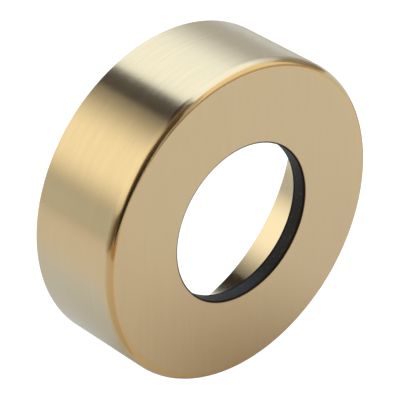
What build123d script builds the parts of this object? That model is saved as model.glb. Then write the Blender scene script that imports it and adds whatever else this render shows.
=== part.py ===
from build123d import *
import os

os.makedirs("parts", exist_ok=True)

# Wall flange for a waste pipe: a deep cup drawn from brass sheet hides the hole where the pipe enters
# the wall, and a rubber ring behind its front grips the pipe and lines the hole.
# The wall is the plane y = 0 and the flange stands out of it along -Y, with +Z up. The origin is where
# the pipe's axis meets the wall. Lengths are in millimetres.

# Driving sizes
PIPE_DIAMETER = 32.0
FLANGE_DIAMETER = 65.0
FLANGE_DEPTH = 20.5
SHEET = 0.5
BEND_RADIUS = 1.2           # inside of the bend between front and skirt
HOLE_EDGE_RADIUS = 0.1      # at the hole's front edge, rounded over when the front is brushed
RIM_EDGE_BREAK = 0.1        # at both edges of the trimmed rim that meets the wall
RING_WIDTH = 2.7            # along the pipe, behind the front
RING_HEIGHT = 4.0           # from the pipe outwards
RING_EDGE_BREAK = 0.2       # at both edges of the ring's back
LIP_HEIGHT = 0.2            # of the ring's lip, from the pipe out to the hole's wall
LIP_RECESS = 0.1            # of that lip's end, behind the flat front

# Sizes that follow
pipe_radius = PIPE_DIAMETER / 2
skirt_outer_radius = FLANGE_DIAMETER / 2
skirt_inner_radius = skirt_outer_radius - SHEET
hole_radius = pipe_radius + LIP_HEIGHT
front = -FLANGE_DEPTH
back_of_front = front + SHEET


def corners(section, *places):
    """The section's corners at these (radius, y) places."""
    return [section.vertices().sort_by_distance(place)[0] for place in places]


def flange_shell():
    """The drawn cup: its sheet keeps one thickness along the front, round the bend and down the skirt."""
    section = make_face(Polyline(
        (hole_radius, front),
        (skirt_outer_radius, front),
        (skirt_outer_radius, 0),
        (skirt_inner_radius, 0),
        (skirt_inner_radius, back_of_front),
        (hole_radius, back_of_front),
        close=True,
    ))
    section = fillet(corners(section, (skirt_outer_radius, front)), BEND_RADIUS + SHEET)
    section = fillet(corners(section, (skirt_inner_radius, back_of_front)), BEND_RADIUS)
    section = fillet(corners(section, (hole_radius, front)), HOLE_EDGE_RADIUS)
    section = chamfer(corners(section, (skirt_outer_radius, 0), (skirt_inner_radius, 0)), RIM_EDGE_BREAK)
    return revolve(section, Axis.Y)


def grip_ring():
    """The rubber ring, flat against the back of the front, with a bore of the pipe's own diameter.

    A thin lip on it reaches forward through the hole, so that the pipe never rubs on the brass.
    """
    ring_outer_radius = pipe_radius + RING_HEIGHT
    ring_back = back_of_front + RING_WIDTH
    section = make_face(Polyline(
        (pipe_radius, front + LIP_RECESS),
        (hole_radius, front + LIP_RECESS),
        (hole_radius, back_of_front),
        (ring_outer_radius, back_of_front),
        (ring_outer_radius, ring_back),
        (pipe_radius, ring_back),
        close=True,
    ))
    back_corners = corners(section, (ring_outer_radius, ring_back), (pipe_radius, ring_back))
    section = chamfer(back_corners, RING_EDGE_BREAK)
    return revolve(section, Axis.Y)


export_step(flange_shell(), "parts/flange_shell.step")
export_step(grip_ring(), "parts/grip_ring.step")
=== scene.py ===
import math

import bpy
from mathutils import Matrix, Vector


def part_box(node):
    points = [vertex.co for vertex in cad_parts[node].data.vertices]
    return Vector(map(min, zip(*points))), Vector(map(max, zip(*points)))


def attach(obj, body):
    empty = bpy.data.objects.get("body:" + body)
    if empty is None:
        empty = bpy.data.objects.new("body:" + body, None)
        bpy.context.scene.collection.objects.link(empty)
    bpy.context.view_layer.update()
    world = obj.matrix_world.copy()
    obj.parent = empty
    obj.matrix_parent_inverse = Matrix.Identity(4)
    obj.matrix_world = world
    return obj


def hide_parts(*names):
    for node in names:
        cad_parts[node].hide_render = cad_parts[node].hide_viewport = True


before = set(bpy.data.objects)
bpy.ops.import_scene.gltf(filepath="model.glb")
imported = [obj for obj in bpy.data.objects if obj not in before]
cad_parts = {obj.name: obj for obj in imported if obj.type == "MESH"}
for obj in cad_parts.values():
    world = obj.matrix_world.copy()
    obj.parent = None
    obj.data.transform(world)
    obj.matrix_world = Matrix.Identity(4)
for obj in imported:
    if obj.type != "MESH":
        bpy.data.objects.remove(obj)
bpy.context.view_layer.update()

# The drawn cup: one piece of brass sheet, half a millimetre thick, pressed to a deep round cup and
# pierced for the pipe. Its hole and rim are deburred, the skirt is brushed while it turns, and the
# front is brushed straight, up and down, before the gold colour is put on.
STEPS_AROUND = 384
SHEET = 0.0005
BEND_RADIUS = 0.0017
HOLE_RADIUS = 0.0162
HOLE_EDGE_RADIUS = 0.0001
RIM_EDGE_RADIUS = 0.0001
HOLDING = 0.00005           # from a rounded edge to the ring of edges that holds it
MIDDLE_OF_FRONT = 0.022
SMOOTH_BELOW = math.radians(40)
QUARTER_TURN = math.pi / 2
low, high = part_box("flange_shell")
FRONT = low.y
BACK_OF_FRONT = FRONT + SHEET
SKIRT_RADIUS = min(-low.x, high.x, -low.z, high.z)
INNER_RADIUS = SKIRT_RADIUS - SHEET


def draw_to(radius, y, start):
    """Extrudes the selected ring from its start, a (radius, y), to another radius and y."""
    bpy.ops.mesh.extrude_region_move(TRANSFORM_OT_translate={"value": (0, y - start[1], 0)})
    spread = radius / start[0]
    bpy.ops.transform.resize(value=(spread, 1, spread), center_override=(0, 0, 0))


def new_ring(name, radius, y, vertices):
    """A round wire to draw a piece from, in edit mode with all of it selected."""
    bpy.ops.object.select_all(action="DESELECT")
    bpy.ops.mesh.primitive_circle_add(
        vertices=vertices, radius=radius, location=(0, y, 0), rotation=(QUARTER_TURN, 0, 0)
    )
    piece = bpy.context.object
    piece.name = name
    bpy.ops.object.transform_apply(location=True, rotation=True, scale=True)
    bpy.ops.object.mode_set(mode="EDIT")
    bpy.ops.mesh.select_all(action="SELECT")
    return piece


def select_rings(piece, places):
    """Selects, in edit mode, the edges round the piece nearest to each of these (radius, y) places."""
    bpy.ops.object.mode_set(mode="EDIT")
    bpy.ops.mesh.select_mode(type="EDGE")
    bpy.ops.mesh.select_all(action="DESELECT")
    bpy.ops.object.mode_set(mode="OBJECT")
    mesh = piece.data
    where = [(math.hypot(vertex.co.x, vertex.co.z), vertex.co.y) for vertex in mesh.vertices]
    round_edges = [edge for edge in mesh.edges if math.dist(*(where[i] for i in edge.vertices)) < 1e-6]
    spots = [where[edge.vertices[0]] for edge in round_edges]
    for place in places:
        nearest = min(spots, key=lambda spot: math.dist(spot, place))
        for edge, spot in zip(round_edges, spots):
            if math.dist(spot, nearest) < 1e-6:
                edge.select = True
    bpy.ops.object.mode_set(mode="EDIT")


cup = new_ring("drawn_cup", HOLE_RADIUS, FRONT, STEPS_AROUND)
section = [
    (HOLE_RADIUS, FRONT),
    (HOLE_RADIUS + HOLE_EDGE_RADIUS + HOLDING, FRONT),
    (MIDDLE_OF_FRONT, FRONT),
    (SKIRT_RADIUS - BEND_RADIUS - HOLDING, FRONT),
    (SKIRT_RADIUS, FRONT),
    (SKIRT_RADIUS, FRONT + BEND_RADIUS + HOLDING),
    (SKIRT_RADIUS, 0.6 * FRONT),
    (SKIRT_RADIUS, 0.3 * FRONT),
    (SKIRT_RADIUS, -RIM_EDGE_RADIUS - HOLDING),
    (SKIRT_RADIUS, 0),
]
for start, end in zip(section, section[1:]):
    draw_to(*end, start)
bpy.ops.mesh.select_all(action="SELECT")
bpy.ops.mesh.normals_make_consistent(inside=False)
bpy.ops.object.mode_set(mode="OBJECT")

wall = cup.modifiers.new("sheet", "SOLIDIFY")
wall.thickness = SHEET
wall.offset = -1
wall.use_even_offset = True
bpy.ops.object.modifier_apply(modifier=wall.name)

select_rings(cup, [(SKIRT_RADIUS, FRONT)])
bpy.ops.mesh.bevel(offset=BEND_RADIUS, segments=20, profile=0.5, affect="EDGES")
select_rings(cup, [(INNER_RADIUS, BACK_OF_FRONT)])
bpy.ops.mesh.bevel(offset=BEND_RADIUS - SHEET, segments=14, profile=0.5, affect="EDGES")
select_rings(cup, [(HOLE_RADIUS, FRONT)])
bpy.ops.mesh.bevel(offset=HOLE_EDGE_RADIUS, segments=4, profile=0.5, affect="EDGES")
select_rings(cup, [(SKIRT_RADIUS, 0), (INNER_RADIUS, 0)])
bpy.ops.mesh.bevel(offset=RIM_EDGE_RADIUS, segments=4, profile=0.5, affect="EDGES")
bpy.ops.object.mode_set(mode="OBJECT")
bpy.ops.object.shade_smooth_by_angle(angle=SMOOTH_BELOW)

BRASS_COLOUR = (0.595, 0.468, 0.293)
# A painted warm reflection: the bend's deeper gold stands in for the warmer light it mirrors
BEND_WARM_REFLECTION_COLOUR = (0.61, 0.44, 0.235)
INSIDE_COLOUR = (0.64, 0.54, 0.39)
# Painted shade: the hole edge's dark brown stands in for the shade in the narrow gap at the ring
HOLE_EDGE_SHADE_COLOUR = (0.3, 0.19, 0.09)
STROKE_CONTRAST = 0.065
STROKE_DEPTH = 0.00001
STROKE_RELIEF = 0.03        # the share of that depth that shows
FRONT_STROKES = 0.7         # how strong the strokes are on the front, against 1 on the skirt
FINE_STROKES = 9000         # grains to the metre, counted across the strokes
FINE_LENGTHS = 200          # and along them
SKIRT_STREAKS = 1500
FRONT_STREAKS = 900
STREAK_LENGTHS = 60
BRUSHED_ROUGHNESS = 0.215   # and up to the spread below more from stroke to stroke
ROUGHNESS_SPREAD = 0.05
INSIDE_ROUGHNESS = 0.19
BEND_ROUGHNESS = 0.16
ANISOTROPY = 0.85
brass = bpy.data.materials.new("brushed_brass")
brass.use_nodes = True
nodes = brass.node_tree.nodes
links = brass.node_tree.links
shader = nodes["Principled BSDF"]
shader.inputs["Metallic"].default_value = 1
shader.inputs["Anisotropic"].default_value = ANISOTROPY
place = nodes.new("ShaderNodeTexCoord")


def math_node(operation, *values):
    """A Math node with these values or links as its inputs; gives its output."""
    node = nodes.new("ShaderNodeMath")
    node.operation = operation
    for socket, value in zip(node.inputs, values):
        if isinstance(value, (int, float)):
            socket.default_value = value
        else:
            links.new(value, socket)
    return node.outputs[0]


def grain(scale, detail):
    """Noise drawn out along the brush strokes by this Mapping scale; gives its value."""
    mapping = nodes.new("ShaderNodeMapping")
    mapping.inputs["Scale"].default_value = scale
    links.new(place.outputs["Object"], mapping.inputs["Vector"])
    noise = nodes.new("ShaderNodeTexNoise")
    noise.inputs["Scale"].default_value = 1
    noise.inputs["Detail"].default_value = detail
    links.new(mapping.outputs["Vector"], noise.inputs["Vector"])
    return noise.outputs["Fac"]


def blend(factor, first, second):
    """First where the factor is 0 and second where it is 1."""
    node = nodes.new("ShaderNodeMix")
    links.new(factor, node.inputs["Factor"])
    for socket, value in (("A", first), ("B", second)):
        if isinstance(value, (int, float)):
            node.inputs[socket].default_value = value
        else:
            links.new(value, node.inputs[socket])
    return node.outputs["Result"]


def blend_colours(factor, first, second):
    """The first colour where the factor is 0 and the second where it is 1."""
    node = nodes.new("ShaderNodeMix")
    node.data_type = "RGBA"
    links.new(factor, node.inputs["Factor"])
    for socket, value in (("A", first), ("B", second)):
        if isinstance(value, tuple):
            node.inputs[socket].default_value = (*value, 1)
        else:
            links.new(value, node.inputs[socket])
    return node.outputs["Result"]


def fade(value, start, end):
    """0 at the start, 1 at the end and smooth between them."""
    node = nodes.new("ShaderNodeMapRange")
    node.interpolation_type = "SMOOTHSTEP"
    node.inputs["From Min"].default_value = start
    node.inputs["From Max"].default_value = end
    links.new(value, node.inputs["Value"])
    return node.outputs["Result"]


# Where the finish changes: the skirt and everything inside are brushed round, the front straight, and
# the bend between them is left smoother by the drawing
split = nodes.new("ShaderNodeSeparateXYZ")
links.new(place.outputs["Object"], split.inputs["Vector"])
x, y, z = split.outputs
radius = math_node("SQRT", math_node("MULTIPLY_ADD", x, x, math_node("MULTIPLY", z, z)))
flat = fade(radius, SKIRT_RADIUS - 0.8 * BEND_RADIUS, SKIRT_RADIUS - 1.1 * BEND_RADIUS)
on_front = math_node("MULTIPLY", flat, fade(y, FRONT + 0.6 * SHEET, FRONT + 0.4 * SHEET))
on_skirt = fade(y, FRONT + 0.2 * BEND_RADIUS, FRONT + 0.6 * BEND_RADIUS)
past_front = math_node("MAXIMUM", math_node("SUBTRACT", radius, SKIRT_RADIUS - BEND_RADIUS), 0)
short_of_skirt = math_node("MAXIMUM", math_node("SUBTRACT", FRONT + BEND_RADIUS, y), 0)
from_bend_squared = math_node(
    "MULTIPLY_ADD", past_front, past_front, math_node("MULTIPLY", short_of_skirt, short_of_skirt)
)
depth = math_node("SUBTRACT", BEND_RADIUS, math_node("SQRT", from_bend_squared))
inside = fade(depth, 0.3 * SHEET, 0.7 * SHEET)
brushed = math_node("MAXIMUM", on_front, math_node("MAXIMUM", on_skirt, inside))
fine_round = grain((FINE_LENGTHS, FINE_STROKES, FINE_LENGTHS), 2)
fine_upright = grain((FINE_STROKES, FINE_LENGTHS, FINE_LENGTHS), 2)
fine_lines = blend(on_front, fine_round, fine_upright)
streaks_round = grain((STREAK_LENGTHS, SKIRT_STREAKS, STREAK_LENGTHS), 4)
streaks_upright = grain((FRONT_STREAKS, STREAK_LENGTHS, STREAK_LENGTHS), 3)
streaks = blend(on_front, streaks_round, streaks_upright)

# Brushed metal spreads what it mirrors across its strokes: along the pipe on the skirt, sideways on
# the front
across = nodes.new("ShaderNodeMix")
across.data_type = "VECTOR"
links.new(flat, across.inputs["Factor"])
across.inputs["A"].default_value = (0, 1, 0)
across.inputs["B"].default_value = (1, 0, 0)
links.new(across.outputs["Result"], shader.inputs["Tangent"])

outside_roughness = math_node("MULTIPLY_ADD", streaks, ROUGHNESS_SPREAD, BRUSHED_ROUGHNESS)
brushed_roughness = blend(inside, outside_roughness, INSIDE_ROUGHNESS)
links.new(blend(brushed, BEND_ROUGHNESS, brushed_roughness), shader.inputs["Roughness"])
stroke_mean = blend(on_front, 1, FRONT_STROKES)
strokes = math_node("MULTIPLY", math_node("ADD", fine_lines, streaks), stroke_mean)
bump = nodes.new("ShaderNodeBump")
bump.inputs["Strength"].default_value = STROKE_RELIEF
bump.inputs["Distance"].default_value = STROKE_DEPTH
links.new(math_node("MULTIPLY", strokes, brushed), bump.inputs["Height"])
links.new(bump.outputs["Normal"], shader.inputs["Normal"])

# The strokes differ a little in brightness. The smooth bend is painted a deeper gold than the brushed
# faces, a painted warm reflection of the light it mirrors. The inside is paler, and the hole's edge is
# painted darker and browner as shade in the narrow gap at the ring.
dull = tuple(part * (1 - STROKE_CONTRAST) for part in BRASS_COLOUR)
bright = tuple(part * (1 + STROKE_CONTRAST) for part in BRASS_COLOUR)
stroke_shade = math_node("ADD", math_node("SUBTRACT", strokes, stroke_mean), 0.5)
colour = blend_colours(stroke_shade, dull, bright)
colour = blend_colours(brushed, BEND_WARM_REFLECTION_COLOUR, colour)
colour = blend_colours(inside, colour, INSIDE_COLOUR)
# Painted shade along the hole's rounded edge, where it meets the ring
hole_edge_shade = fade(radius, HOLE_RADIUS + 2 * HOLE_EDGE_RADIUS, HOLE_RADIUS + 0.5 * HOLE_EDGE_RADIUS)
colour = blend_colours(hole_edge_shade, colour, HOLE_EDGE_SHADE_COLOUR)
links.new(colour, shader.inputs["Base Color"])

cup.data.materials.append(brass)
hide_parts("flange_shell")
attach(cup, "root")

# The grip ring: moulded from black rubber and bonded to the back of the cup's front, with its edges
# rounded. Its bore is the pipe's own diameter, and a thin lip on it lines the hole in the brass.
BORE_RADIUS = 0.016
LIP_RECESS = 0.0001
LIP_EDGE_RADIUS = 0.00006
RING_EDGE_RADIUS = 0.00015
RING_STEPS_AROUND = 256
ring_low, ring_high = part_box("grip_ring")
ring_radius = min(-ring_low.x, ring_high.x, -ring_low.z, ring_high.z)
lip_end = FRONT + LIP_RECESS
ring = new_ring("rubber_grip_ring", BORE_RADIUS, lip_end, RING_STEPS_AROUND)
section = [
    (BORE_RADIUS, lip_end),
    (HOLE_RADIUS, lip_end),
    (HOLE_RADIUS, BACK_OF_FRONT),
    (ring_radius, BACK_OF_FRONT),
    (ring_radius, ring_high.y),
    (BORE_RADIUS, ring_high.y),
]
for start, end in zip(section, section[1:]):
    draw_to(*end, start)
select_rings(ring, [section[0], section[-1]])
bpy.ops.mesh.bridge_edge_loops()
select_rings(ring, section[:2])
bpy.ops.mesh.bevel(offset=LIP_EDGE_RADIUS, segments=3, profile=0.5, affect="EDGES")
select_rings(ring, section[3:])
bpy.ops.mesh.bevel(offset=RING_EDGE_RADIUS, segments=6, profile=0.5, affect="EDGES")
bpy.ops.mesh.select_all(action="SELECT")
bpy.ops.mesh.normals_make_consistent(inside=False)
bpy.ops.object.mode_set(mode="OBJECT")
bpy.ops.object.shade_smooth_by_angle(angle=SMOOTH_BELOW)

RUBBER_COLOUR = (0.011, 0.0105, 0.01)
DUSTY_RUBBER_COLOUR = (0.04, 0.0385, 0.0365)
SKIN_DEPTH = 0.00004
SKIN_RELIEF = 0.5           # the share of that depth that shows
SKIN_GRAINS = 5200          # to the metre
SMOOTHEST = 0.42            # roughness, from the skin's lowest grains
ROUGHEST = 0.62             # to its highest
SHEEN = 0.25
# sheen on the edges of the bore, where the painted shade takes it away
EDGE_SHADE_SHEEN = 0.02
DUST_SPOTS = 1400           # to the metre
DUST_STARTS = 0.56          # in the spots' noise
DUST_FULL = 0.7
FRONT_SHADE_BAND = 0.0006         # from the lip's end, where the bore is painted black as shade in the gap at the brass
BACK_SHADE_BAND = 0.0007          # and from the ring's back, painted black as shade on its rounded back edge
BAND_FADE = 0.0005
rubber = bpy.data.materials.new("black_rubber")
rubber.use_nodes = True
nodes = rubber.node_tree.nodes
links = rubber.node_tree.links
shader = nodes["Principled BSDF"]
place = nodes.new("ShaderNodeTexCoord")
skin = nodes.new("ShaderNodeTexNoise")
skin.inputs["Scale"].default_value = SKIN_GRAINS
skin.inputs["Detail"].default_value = 4
links.new(place.outputs["Object"], skin.inputs["Vector"])
bump = nodes.new("ShaderNodeBump")
bump.inputs["Strength"].default_value = SKIN_RELIEF
bump.inputs["Distance"].default_value = SKIN_DEPTH
links.new(skin.outputs["Fac"], bump.inputs["Height"])
links.new(bump.outputs["Normal"], shader.inputs["Normal"])
rough = nodes.new("ShaderNodeMapRange")
rough.inputs["To Min"].default_value = SMOOTHEST
rough.inputs["To Max"].default_value = ROUGHEST
links.new(skin.outputs["Fac"], rough.inputs["Value"])
links.new(rough.outputs["Result"], shader.inputs["Roughness"])

# Handling has left it greyer in spots, but not along the edges of the bore: there it is painted black
# with little sheen, as painted shade in the gap at the brass and on the rounded back edge
spots = nodes.new("ShaderNodeTexNoise")
spots.inputs["Scale"].default_value = DUST_SPOTS
spots.inputs["Detail"].default_value = 3
links.new(place.outputs["Object"], spots.inputs["Vector"])
split = nodes.new("ShaderNodeSeparateXYZ")
links.new(place.outputs["Object"], split.inputs["Vector"])
y = split.outputs["Y"]
# Painted shade: bands along both edges of the bore, blacker and with little sheen
front_shade = fade(y, lip_end + FRONT_SHADE_BAND, lip_end + FRONT_SHADE_BAND - BAND_FADE)
back_shade = fade(y, ring_high.y - BACK_SHADE_BAND, ring_high.y - BACK_SHADE_BAND + BAND_FADE)
edge = math_node("MAXIMUM", front_shade, back_shade)
dust = fade(spots.outputs["Fac"], DUST_STARTS, DUST_FULL)
grey = math_node("MULTIPLY", dust, math_node("SUBTRACT", 1, edge))
links.new(blend_colours(grey, RUBBER_COLOUR, DUSTY_RUBBER_COLOUR), shader.inputs["Base Color"])
links.new(blend(edge, SHEEN, EDGE_SHADE_SHEEN), shader.inputs["Specular IOR Level"])
ring.data.materials.append(rubber)
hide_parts("grip_ring")
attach(ring, "root")

# The floor: a wide sheet of white paper, laid flat well below the flange, which keeps its soft shadow.
# It shows as white, also where the brass mirrors it.
FLOOR_DROP = 0.16
PAPER_LIFT = 0.3            # glow that makes the lit paper show as white, and lights nothing
bpy.ops.object.select_all(action="DESELECT")
bpy.ops.mesh.primitive_plane_add(size=12, location=(0, 0, -FLOOR_DROP))
floor = bpy.context.object
floor.name = "floor"
paper = bpy.data.materials.new("white_paper")
paper.use_nodes = True
nodes = paper.node_tree.nodes
links = paper.node_tree.links
shader = nodes["Principled BSDF"]
shader.inputs["Base Color"].default_value = (0.8, 0.8, 0.8, 1)
shader.inputs["Roughness"].default_value = 0.9
shader.inputs["Specular IOR Level"].default_value = 0
rays = nodes.new("ShaderNodeLightPath")
seen = math_node("MAXIMUM", rays.outputs["Is Camera Ray"], rays.outputs["Is Glossy Ray"])
seen = math_node("MAXIMUM", seen, rays.outputs["Is Transmission Ray"])
shader.inputs["Emission Color"].default_value = (1, 1, 1, 1)
links.new(math_node("MULTIPLY", seen, PAPER_LIFT), shader.inputs["Emission Strength"])
floor.data.materials.append(paper)


def softbox(name, place, size, colour, glow):
    """A flat lit screen, unseen by the camera.

    Its glow is a list of (place from bottom to top, strength), where 1 is as bright as white paper.
    """
    bpy.ops.object.select_all(action="DESELECT")
    bpy.ops.mesh.primitive_plane_add(size=1, location=place)
    screen = bpy.context.object
    screen.name = name
    screen.scale = (*size, 1)
    screen.visible_camera = False
    cloth = bpy.data.materials.new(name)
    cloth.use_nodes = True
    nodes = cloth.node_tree.nodes
    links = cloth.node_tree.links
    nodes.clear()
    spot = nodes.new("ShaderNodeTexCoord")
    height = nodes.new("ShaderNodeSeparateXYZ")
    links.new(spot.outputs["Generated"], height.inputs["Vector"])
    ramp = nodes.new("ShaderNodeValToRGB")
    ramp.color_ramp.interpolation = "EASE"
    brightest = max(strength for _, strength in glow)
    while len(ramp.color_ramp.elements) < len(glow):
        ramp.color_ramp.elements.new(0.5)
    for stop, (position, strength) in zip(ramp.color_ramp.elements, glow):
        stop.position = position
        shade = strength / brightest
        stop.color = (shade, shade, shade, 1)
    links.new(height.outputs["Y"], ramp.inputs["Fac"])
    tint = nodes.new("ShaderNodeMix")
    tint.data_type = "RGBA"
    tint.blend_type = "MULTIPLY"
    tint.inputs["Factor"].default_value = 1
    tint.inputs["A"].default_value = (*colour, 1)
    links.new(ramp.outputs["Color"], tint.inputs["B"])
    lit = nodes.new("ShaderNodeEmission")
    lit.inputs["Strength"].default_value = brightest
    links.new(tint.outputs["Result"], lit.inputs["Color"])
    out = nodes.new("ShaderNodeOutputMaterial")
    links.new(lit.outputs["Emission"], out.inputs["Surface"])
    screen.data.materials.append(cloth)
    return screen


def card(name, place, size, colour):
    """A flat card that the camera doesn't see."""
    bpy.ops.object.select_all(action="DESELECT")
    bpy.ops.mesh.primitive_plane_add(size=1, location=place)
    sheet = bpy.context.object
    sheet.name = name
    sheet.scale = (*size, 1)
    sheet.visible_camera = False
    coat = bpy.data.materials.new(name)
    coat.use_nodes = True
    surface = coat.node_tree.nodes["Principled BSDF"]
    surface.inputs["Base Color"].default_value = (*colour, 1)
    surface.inputs["Roughness"].default_value = 1
    surface.inputs["Specular IOR Level"].default_value = 0
    sheet.data.materials.append(coat)
    return sheet


# The light: three softboxes, the largest overhead, one at the left and a small one in front to the right,
# with a grey screen beyond it. Low screens at both sides make the skirt and its bend paler or browner
# in places.
over = softbox(
    "softbox_overhead",
    place=(1.1, 0.4, 1.0),
    size=(2.9, 2.2),
    colour=(0.86, 1, 1.17),
    glow=[(0, 0.58), (0.36, 1.22), (0.62, 1.8), (1, 1.86)],
)
over.rotation_euler = (0, 0, QUARTER_TURN)
left = softbox(
    "softbox_left",
    place=(-0.9, 0.4, 0.72),
    size=(2.8, 1.7),
    colour=(1.04, 1, 0.82),
    glow=[(0, 0.62), (0.38, 1.54), (0.55, 1.54), (1, 0.3)],
)
left.rotation_euler = (math.radians(51), 0, -QUARTER_TURN)
right = softbox(
    "softbox_right",
    place=(0.7, -0.84, 0.5),
    size=(0.85, 0.9),
    colour=(1.04, 1, 0.78),
    glow=[(0, 0.9), (0.2, 1.25), (0.85, 1.25), (1, 0.7)],
)
right.rotation_euler = (QUARTER_TURN, 0, math.radians(40))
grey_right = softbox(
    "screen_right",
    place=(1.6, -0.25, 0.36),
    size=(1.2, 0.8),
    colour=(1, 1, 0.9),
    glow=[(0.1, 0.28), (0.5, 0.42), (0.8, 0.4)],
)
grey_right.rotation_euler = (QUARTER_TURN, 0, QUARTER_TURN)
low_right = softbox(
    "screen_low_right",
    place=(0.65, -0.47, -0.05),
    size=(0.16, 1.12),
    colour=(1, 0.82, 0.58),
    glow=[(0, 0.3), (0.25, 0.6), (1, 0.7)],
)
low_right.rotation_euler = (QUARTER_TURN, QUARTER_TURN, 0)
low_left = softbox(
    "screen_low_left",
    place=(-0.6, -0.33, -0.02),
    size=(0.24, 0.66),
    colour=(1, 0.7, 0.4),
    glow=[(0, 0.06), (0.4, 0.12), (1, 0.42)],
)
low_left.rotation_euler = (0, QUARTER_TURN, 0)
far_left = softbox(
    "screen_far_left",
    place=(-0.6, 0.3, -0.02),
    size=(0.24, 0.7),
    colour=(0.97, 1, 0.9),
    glow=[(0, 0.5), (0.74, 0.69), (0.82, 0.82), (1, 0.86)],
)
far_left.rotation_euler = (0, QUARTER_TURN, 0)

# The flags that give the brass its dark lines: a black card between the overhead and left softboxes, a
# small one close behind the flange, and dim brown cloth above the camera and round it.
BLACK = (0.03, 0.018, 0.008)
DARK_BROWN = (1, 0.7, 0.35)
CLOTH_LEAN = -0.2
over_card = card("card_overhead", place=(-0.148, 0.55, 0.96), size=(0.281, 1.7), colour=BLACK)
over_card.rotation_euler = (0, 0, -0.11)
back_card = card("card_behind", place=(0.0113, 0.04, 0.0175), size=(0.01, 0.045), colour=BLACK)
back_card.rotation_euler = (QUARTER_TURN, 0, 0)
top_flag = softbox(
    "flag_top",
    place=(-0.107, -0.81, 0.958),
    size=(0.42, 0.86),
    colour=DARK_BROWN,
    glow=[(0, 0.16), (1, 0.16)],
)
top_flag.rotation_euler = (0, 0, 0.28)
front_flag = softbox(
    "flag_front",
    place=(-0.2288, -0.47, 0.342),
    size=(0.5, 0.552),
    colour=DARK_BROWN,
    glow=[(0, 0.05), (0.26, 0.12), (1, 0.19)],
)
front_flag.rotation_euler = (QUARTER_TURN, CLOTH_LEAN, 0)
low_flag = softbox(
    "flag_front_low",
    place=(-0.1865, -0.471, -0.0274),
    size=(0.436, 0.188),
    colour=DARK_BROWN,
    glow=[(0, 0.01), (0.6, 0.015), (1, 0.04)],
)
low_flag.rotation_euler = (QUARTER_TURN, CLOTH_LEAN, 0)

# The table that the brass mirrors, as sheets of card in the tones it shows on each side of the flange:
# painted shade, darker where the flange's shadow falls, and painted warm light, browner where the brass
# throws its colour on it. They lie one on another just below it, seen in the brass alone, and cast no
# shadow.
TABLE = -0.0328
CARD = 0.0001
TABLE_COLOUR = (0.96, 0.88, 0.82)
table = card("card_below", place=(0.305, 0.33, TABLE), size=(0.99, 0.95), colour=TABLE_COLOUR)
back_table = card(
    "card_below_behind",
    place=(-0.015, 0.06, TABLE + CARD),
    size=(0.09, 0.158),
    colour=(0.88, 0.92, 0.99),
)
# A painted shadow: the flange's shadow on the table to its right and behind, as a darker card
shade = card(
    "card_shade",
    place=(0.1, 0.06, TABLE + 2 * CARD),
    size=(0.14, 0.158),
    colour=(0.5, 0.42, 0.33),
)
left_table = card(
    "card_below_left",
    place=(-0.109, -0.0825, TABLE + 2 * CARD),
    size=(0.162, 0.125),
    colour=(0.8, 0.71, 0.57),
)
right_table = card(
    "card_below_right",
    place=(0.485, 0.33, TABLE + 2 * CARD),
    size=(0.63, 0.95),
    colour=(0.78, 0.79, 0.77),
)
near_table = card(
    "card_below_near",
    place=(-0.109, -0.125, TABLE + 3 * CARD),
    size=(0.162, 0.05),
    colour=(0.56, 0.35, 0.17),
)
for sheet in (table, back_table, shade, left_table, right_table, near_table):
    sheet.visible_diffuse = False
    sheet.visible_shadow = False

# A painted contact shadow: the table is darker close to the foot of the flange
FOOT_SHADOW_REACH = 0.04
FOOT_SHADOW_COLOUR = (0.79, 0.7, 0.62)
nodes = table.data.materials[0].node_tree.nodes
links = table.data.materials[0].node_tree.links
spot = nodes.new("ShaderNodeNewGeometry")
away = nodes.new("ShaderNodeVectorMath")
away.operation = "DISTANCE"
away.inputs[1].default_value = (0, FRONT, TABLE)
links.new(spot.outputs["Position"], away.inputs[0])
ramp = nodes.new("ShaderNodeValToRGB")
ramp.color_ramp.elements[0].color = (*FOOT_SHADOW_COLOUR, 1)
ramp.color_ramp.elements[1].color = (*TABLE_COLOUR, 1)
links.new(math_node("DIVIDE", away.outputs["Value"], FOOT_SHADOW_REACH), ramp.inputs["Fac"])
links.new(ramp.outputs["Color"], nodes["Principled BSDF"].inputs["Base Color"])

# The room round them: painted an even, slightly blue grey, and lit less than the paper, so that it
# only fills the gaps between the screens.
ROOM_COLOUR = (0.94, 1, 1.05)
ROOM_GLOW = 0.66
world = bpy.data.worlds.new("studio")
bpy.context.scene.world = world
world.use_nodes = True
room = world.node_tree.nodes["Background"]
room.inputs["Color"].default_value = (*ROOM_COLOUR, 1)
room.inputs["Strength"].default_value = ROOM_GLOW

# The camera: held above the flange and to its left, about half a metre away. Its long lens keeps the
# front and the back rim nearly the same size.
SENSOR_WIDTH = 36
LENS = 250.2
CAMERA_PLACE = (-0.29881, -0.34199, 0.27072)
CAMERA_LOOKS = Vector((0.57106, 0.63686, -0.51795))
eye = bpy.data.cameras.new("camera")
eye.sensor_width = SENSOR_WIDTH
eye.lens = LENS
camera = bpy.data.objects.new("camera", eye)
bpy.context.scene.collection.objects.link(camera)
camera.location = CAMERA_PLACE
camera.rotation_euler = CAMERA_LOOKS.to_track_quat("-Z", "Y").to_euler()
bpy.context.scene.camera = camera

bpy.context.scene.view_settings.view_transform = "Standard"
